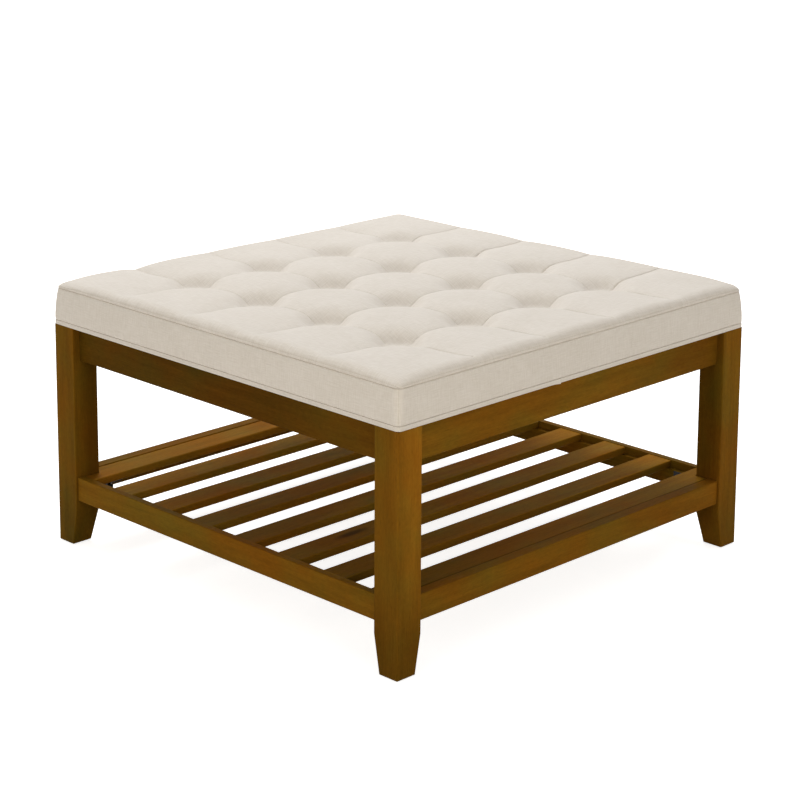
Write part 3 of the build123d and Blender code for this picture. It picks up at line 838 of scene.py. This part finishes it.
def hem_band():
    """A rounded band profile carried once round, with its two ends closed where they meet."""
    p, n, s = around(hem_half, hem_corner, hem_count)
    start = int(np.argmin(np.hypot(p[:, 0] - joint_place, p[:, 1] + hem_half)))
    p, n = np.roll(p, -start, 0), np.roll(n, -start, 0)
    p, n = np.concatenate([p, p[:1]]), np.concatenate([n, n[:1]])
    run = np.concatenate([s, [s[-1] + s[1]]])
    angle = np.linspace(0, 2 * np.pi, hem_sides, endpoint=False)
    c, w = np.cos(angle), np.sin(angle)
    bulge = np.sign(c) * np.abs(c) ** bulge_power
    rise = np.sign(w) * np.abs(w) ** rise_power
    depth = hem_half - hem_inside
    lap = np.exp(-((run[-1] - run) / lap_length) ** 2) * lap_out
    out = (bulge[None] - 1) * depth / 2 + lap[:, None] * (bulge[None] + 1) / 2
    z = (hem_low + hem_high) / 2 + rise[None] * (hem_high - hem_low) / 2
    z = z - lap[:, None] * lap_drop * (rise[None] < 0)
    grid = p[:, None] + n[:, None] * out[..., None]
    grid[..., 2] = z
    rows, columns = grid.shape[:2]
    base = np.arange(rows * columns).reshape(rows, columns)
    a, b = base[:-1], base[1:]
    faces = np.stack([a, b, np.roll(b, -1, 1), np.roll(a, -1, 1)], -1).reshape(-1, 4)
    steps = np.hypot(np.diff(bulge * depth / 2), np.diff(rise * hem_edge))
    across = np.concatenate([[0], np.cumsum(steps)])
    uv = np.stack(np.broadcast_arrays(run[:, None], across[None]), -1)
    return grid.reshape(-1, 3), [*faces, base[0][::-1], base[-1]], uv


hem_points, hem_faces, hem_uv = hem_band()
hem = piece("hem_band_cloth", hem_points, hem_faces, linen_weave, "linen", hem_uv)
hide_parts("hem_band")

# %% [markdown]
# ## Foam and dust cover
# Under the top is a slab of foam, slit where the tufts' tapes pass through, and under the seat board a thin
# pale cloth that keeps dust out. Neither shows from a chair, but both are there when it is turned over.

# %% Foam block
foam_low, foam_high, foam_half, foam_corner = 369.2 * MM, 407.6 * MM, 376.8 * MM, 16 * MM
slit_wide, slit_deep = 4 * MM, 1.5 * MM
tape_pitch, foam_cells = 152.4 * MM, 27
tape_lines = tuft_places * tape_pitch


def slab(xs, ys, low, high, keep):
    """A slab on a grid of places with some cells left out, and upright walls at every open edge."""
    x, y = np.meshgrid(xs, ys, indexing="ij")
    x, y, _ = round_corners(x, y, xs[-1], foam_corner)
    count = x.size
    top = np.stack([x, y, 0 * x + high], -1).reshape(-1, 3)
    under = np.stack([x, y, 0 * x + low], -1).reshape(-1, 3)
    cells = grid_faces(len(xs), len(ys))[keep.ravel()]
    edges = np.stack([cells, np.roll(cells, -1, 1)], -1).reshape(-1, 2)
    twin = {tuple(e) for e in edges[:, ::-1].tolist()}
    open_edges = np.array([e for e in edges.tolist() if tuple(e) not in twin])
    walls = np.concatenate([open_edges[:, ::-1], open_edges + count], 1)
    return np.concatenate([top, under]), np.concatenate([cells, cells[:, ::-1] + count, walls])


def slit_grid(reach):
    """Places across the foam with an edge on each side of every slit, and which cells lie in a slit."""
    places = np.sort(np.concatenate([foam_line, tape_lines - reach, tape_lines + reach]))
    middles = (places[1:] + places[:-1]) / 2
    return places, np.abs(middles[:, None] - tape_lines).min(-1) < reach


corner_steps = foam_corner * np.array([0, 0.2, 0.4, 0.6, 0.8])
foam_line = np.concatenate([np.linspace(foam_corner - foam_half, foam_half - foam_corner, foam_cells),
                            foam_half - corner_steps, corner_steps - foam_half])
(xs, slit_x), (ys, slit_y) = slit_grid(slit_wide), slit_grid(slit_deep)
keep = ~(slit_x[:, None] & slit_y[None])
foam_slab = piece("foam_slab", *slab(xs, ys, foam_low, foam_high, keep), foam, "foam", smooth=False)
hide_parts("foam_block")

# %% Dust cover
cover_half, cover_height, cover_thick = 328.8 * MM, 356.9 * MM, 0.4 * MM
cover_sag, cover_ripple, cover_cells = 1.6 * MM, 0.25 * MM, 61
waves_across, waves_slant, waves_along = 9, 2, 7


def dust_cover():
    """A level sheet that sags as cos x cos y between its stapled edges, with low ripples."""
    t = np.linspace(-1, 1, cover_cells)
    u, v = np.meshgrid(t, t, indexing="ij")
    sag = cover_sag * np.cos(u * np.pi / 2) * np.cos(v * np.pi / 2)
    ripple = cover_ripple * (1 - u ** 2) * (1 - v ** 2)
    ripple = ripple * np.sin(waves_across * u + waves_slant * v) * np.sin(waves_along * v)
    z = cover_height - sag - ripple
    upper = np.stack([u * cover_half, v * cover_half, z], -1)
    return upper, upper - [0, 0, cover_thick]


points, faces = shell(*dust_cover())
cover = piece("dust_cover_cloth", points, faces, dust_cloth, "dust_cloth")
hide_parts("dust_cover")

# %% [markdown]
# ## Screws and staples
# Underneath, the table shows how it goes together: pan-head screws hold the brackets' flanges to the rails,
# countersunk screws go up through the cleats into the seat board and up through the side stretchers into
# the slats, and wire staples hold the dust cover. They are black like the brackets. Each head has a cross
# recess, which here is a cut in its rounded top.

# %% Screw heads
head_rings, head_sides = np.array([0.12, 0.3, 0.45, 0.56, 0.75, 0.9, 1.0, 1.0]), 24
cross_width, cross_reach, head_foot, head_recess = 0.15, 0.6, 0.4 * MM, 0.9 * MM


def heads(places, out, radius, height):
    """One closed head for each place: rings of points under a rounded top with a cross cut into it."""
    helper = np.where(np.abs(out[:, 2:]) > 0.9, [[1.0, 0, 0]], [[0, 0, 1.0]])
    u = np.cross(helper, out)
    v = np.cross(out, u)
    share = head_rings
    angle = np.linspace(0, 2 * np.pi, head_sides, endpoint=False)
    a, b = share[:, None] * np.cos(angle), share[:, None] * np.sin(angle)
    cross = (np.minimum(np.abs(a), np.abs(b)) < cross_width) & (share[:, None] < cross_reach)
    rise = height * np.sqrt(np.clip(1 - share ** 4, 0, 1))[:, None] - head_recess * cross
    rise[-1] = -head_foot
    spread = radius * (a[None, ..., None] * u[:, None, None] + b[None, ..., None] * v[:, None, None])
    points = places[:, None, None] + spread + rise[None, ..., None] * out[:, None, None]
    one = np.arange(a.size).reshape(a.shape)
    strips = np.concatenate([strip_faces(one[k + 1], one[k]) for k in range(len(share) - 1)])
    first = a.size * np.arange(len(places))
    faces = list((first[:, None, None] + strips[None]).reshape(-1, 4))
    faces += [f for end in (one[0], one[-1][::-1]) for f in first[:, None] + end[None]]
    return points.reshape(-1, 3), faces


def all_round(places, out):
    """The same places on each of the four sides, from those on the back side."""
    return [np.concatenate([turned(np.array(rows, float), k) for k in range(4)]) for rows in (places, out)]


pan_radius, pan_height, sunk_height = 3.4 * MM, 1.9 * MM, 0.35 * MM
apron_flange, apron_screw_x, apron_screw_heights = 346 * MM, 284 * MM, (320 * MM, 338 * MM)
shelf_flange, shelf_screw_height, shelf_screw_x = 355 * MM, 89.9 * MM, (281 * MM, 290.5 * MM)
flange_screws = [(side * apron_screw_x, apron_flange, z) for side in (-1, 1) for z in apron_screw_heights]
flange_screws += [(side * x, shelf_flange, shelf_screw_height) for side in (-1, 1) for x in shelf_screw_x]
places, out = all_round(flange_screws, [(0, -1, 0)] * len(flange_screws))
piece("bracket_screws", *heads(places, out, pan_radius, pan_height), black_steel, "black_steel")

cleat_middle, cleat_bottom, cleat_radius = 339 * MM, 339 * MM, 3.6 * MM
cleat_screws = [(x, cleat_middle, cleat_bottom) for x in (-200 * MM, -70 * MM, 70 * MM, 200 * MM)]
places, out = all_round(cleat_screws, [(0, 0, -1)] * len(cleat_screws))
piece("cleat_screws", *heads(places, out, cleat_radius, sunk_height), black_steel, "black_steel")

slat_count, slat_pitch, slat_radius = 8, 95.286 * MM, 3.2 * MM
ledge_middle, stretcher_bottom = 361 * MM, 75.5 * MM
slat_middles = (np.arange(slat_count) - (slat_count - 1) / 2) * slat_pitch
slat_places = np.array([(side * ledge_middle, y, stretcher_bottom) for side in (-1, 1) for y in slat_middles])
downward = np.array([(0, 0, -1.0)] * len(slat_places))
piece("slat_screws", *heads(slat_places, downward, slat_radius, sunk_height), black_steel, "black_steel")

# %% Staples
staple_in, staple_crown, staple_wire, staple_below = 6 * MM, 10 * MM, 0.5 * MM, 0.3 * MM
staple_count, staple_pitch = 11, 60 * MM
staple_height = cover_height - cover_thick - staple_below
across = (np.arange(staple_count) - (staple_count - 1) / 2) * staple_pitch
staple_places = [(x, cover_half - staple_in, staple_height) for x in across]
places, out = all_round(staple_places, [(0, 0, -1)] * staple_count)
_, along = all_round(staple_places, [(1, 0, 0)] * staple_count)
piece("cover_staples", *beads(places, along, out, staple_crown, staple_wire), black_steel, "black_steel")
print(len(places), "staples")
